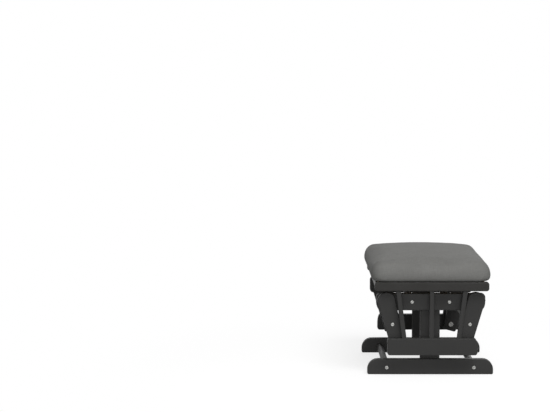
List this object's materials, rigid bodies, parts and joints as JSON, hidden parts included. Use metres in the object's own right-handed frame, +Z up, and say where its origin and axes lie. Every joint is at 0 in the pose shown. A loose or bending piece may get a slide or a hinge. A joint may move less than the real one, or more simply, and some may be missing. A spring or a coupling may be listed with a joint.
{
  "type": "glider ottoman",
  "caption": "Gliding footstool: a padded rectangular seat on slatted side frames, hung by slanted swing arms from a standing wooden base, so that it glides back and forth.",
  "frame": {"origin": "on the floor under the middle of the base, with the seat at rest in the middle of its glide", "axes": "+X along the glide, towards the front end; +Y across the glide, towards the left side; +Z up"},
  "size_m": [0.378, 0.5, 0.3621],
  "materials": {
    "paint": "hardwood under a satin charcoal paint",
    "steel": "zinc-plated steel",
    "nylon": "natural nylon",
    "plywood": "bare plywood",
    "fabric": "plain grey woven upholstery over foam"
  },
  "bodies": {
    "base": {"foot_rail_right": "paint", "foot_rail_left": "paint", "top_rail_right": "paint", "top_rail_left": "paint", "centre_post_right": "paint", "centre_post_left": "paint", "foot_crossbar_front": "paint", "foot_crossbar_rear": "paint", "upper_crossbar_front": "paint", "upper_crossbar_rear": "paint", "foot_bolt_front_right": "steel", "foot_bolt_front_left": "steel", "foot_bolt_rear_right": "steel", "foot_bolt_rear_left": "steel", "upper_bolt_front_right": "steel", "upper_bolt_front_left": "steel", "upper_bolt_rear_right": "steel", "upper_bolt_rear_left": "steel", "upper_pivot_bolt_front_right": "steel", "upper_pivot_bolt_front_left": "steel", "upper_pivot_bolt_rear_right": "steel", "upper_pivot_bolt_rear_left": "steel", "upper_washer_front_right": "nylon", "upper_washer_front_left": "nylon", "upper_washer_rear_right": "nylon", "upper_washer_rear_left": "nylon"},
    "front_arms": {"swing_arm_front_right": "paint", "swing_arm_front_left": "paint", "arm_crossbar_front": "paint", "arm_bolt_front_right": "steel", "arm_bolt_front_left": "steel"},
    "rear_arms": {"swing_arm_rear_right": "paint", "swing_arm_rear_left": "paint", "arm_crossbar_rear": "paint", "arm_bolt_rear_right": "steel", "arm_bolt_rear_left": "steel"},
    "seat": {"lower_pivot_bolt_front_right": "steel", "lower_pivot_bolt_front_left": "steel", "lower_pivot_bolt_rear_right": "steel", "lower_pivot_bolt_rear_left": "steel", "lower_washer_front_right": "nylon", "lower_washer_front_left": "nylon", "lower_washer_rear_right": "nylon", "lower_washer_rear_left": "nylon", "lower_rail_right": "paint", "lower_rail_left": "paint", "seat_rail_right": "paint", "seat_rail_left": "paint", "slat_front_right": "paint", "slat_front_left": "paint", "slat_middle_right": "paint", "slat_middle_left": "paint", "slat_rear_right": "paint", "slat_rear_left": "paint", "seat_end_rail_front": "paint", "seat_end_rail_rear": "paint", "seat_board": "plywood", "cushion": "fabric"}
  },
  "joints": [
    {"name": "front_arm_swing", "type": "hinge", "parent": "base", "child": "front_arms", "pos_m": [0.133, 0, 0.223], "axis": [0, -1, 0], "range_deg": [-9, 9]},
    {"name": "seat_pivot", "type": "hinge", "parent": "front_arms", "child": "seat", "pos_m": [0.098, 0, 0.088], "axis": [0, -1, 0], "range_deg": [-12.4, 12.4]},
    {"name": "rear_arm_swing", "type": "hinge", "parent": "base", "child": "rear_arms", "pos_m": [-0.133, 0, 0.223], "axis": [0, -1, 0], "range_deg": [-9.3, 9.3]}
  ],
  "couplings": [
    {"joint": "seat_pivot", "follows": "front_arm_swing", "ratio": -1.3571},
    {"joint": "rear_arm_swing", "follows": "front_arm_swing", "ratio": 1}
  ]
}
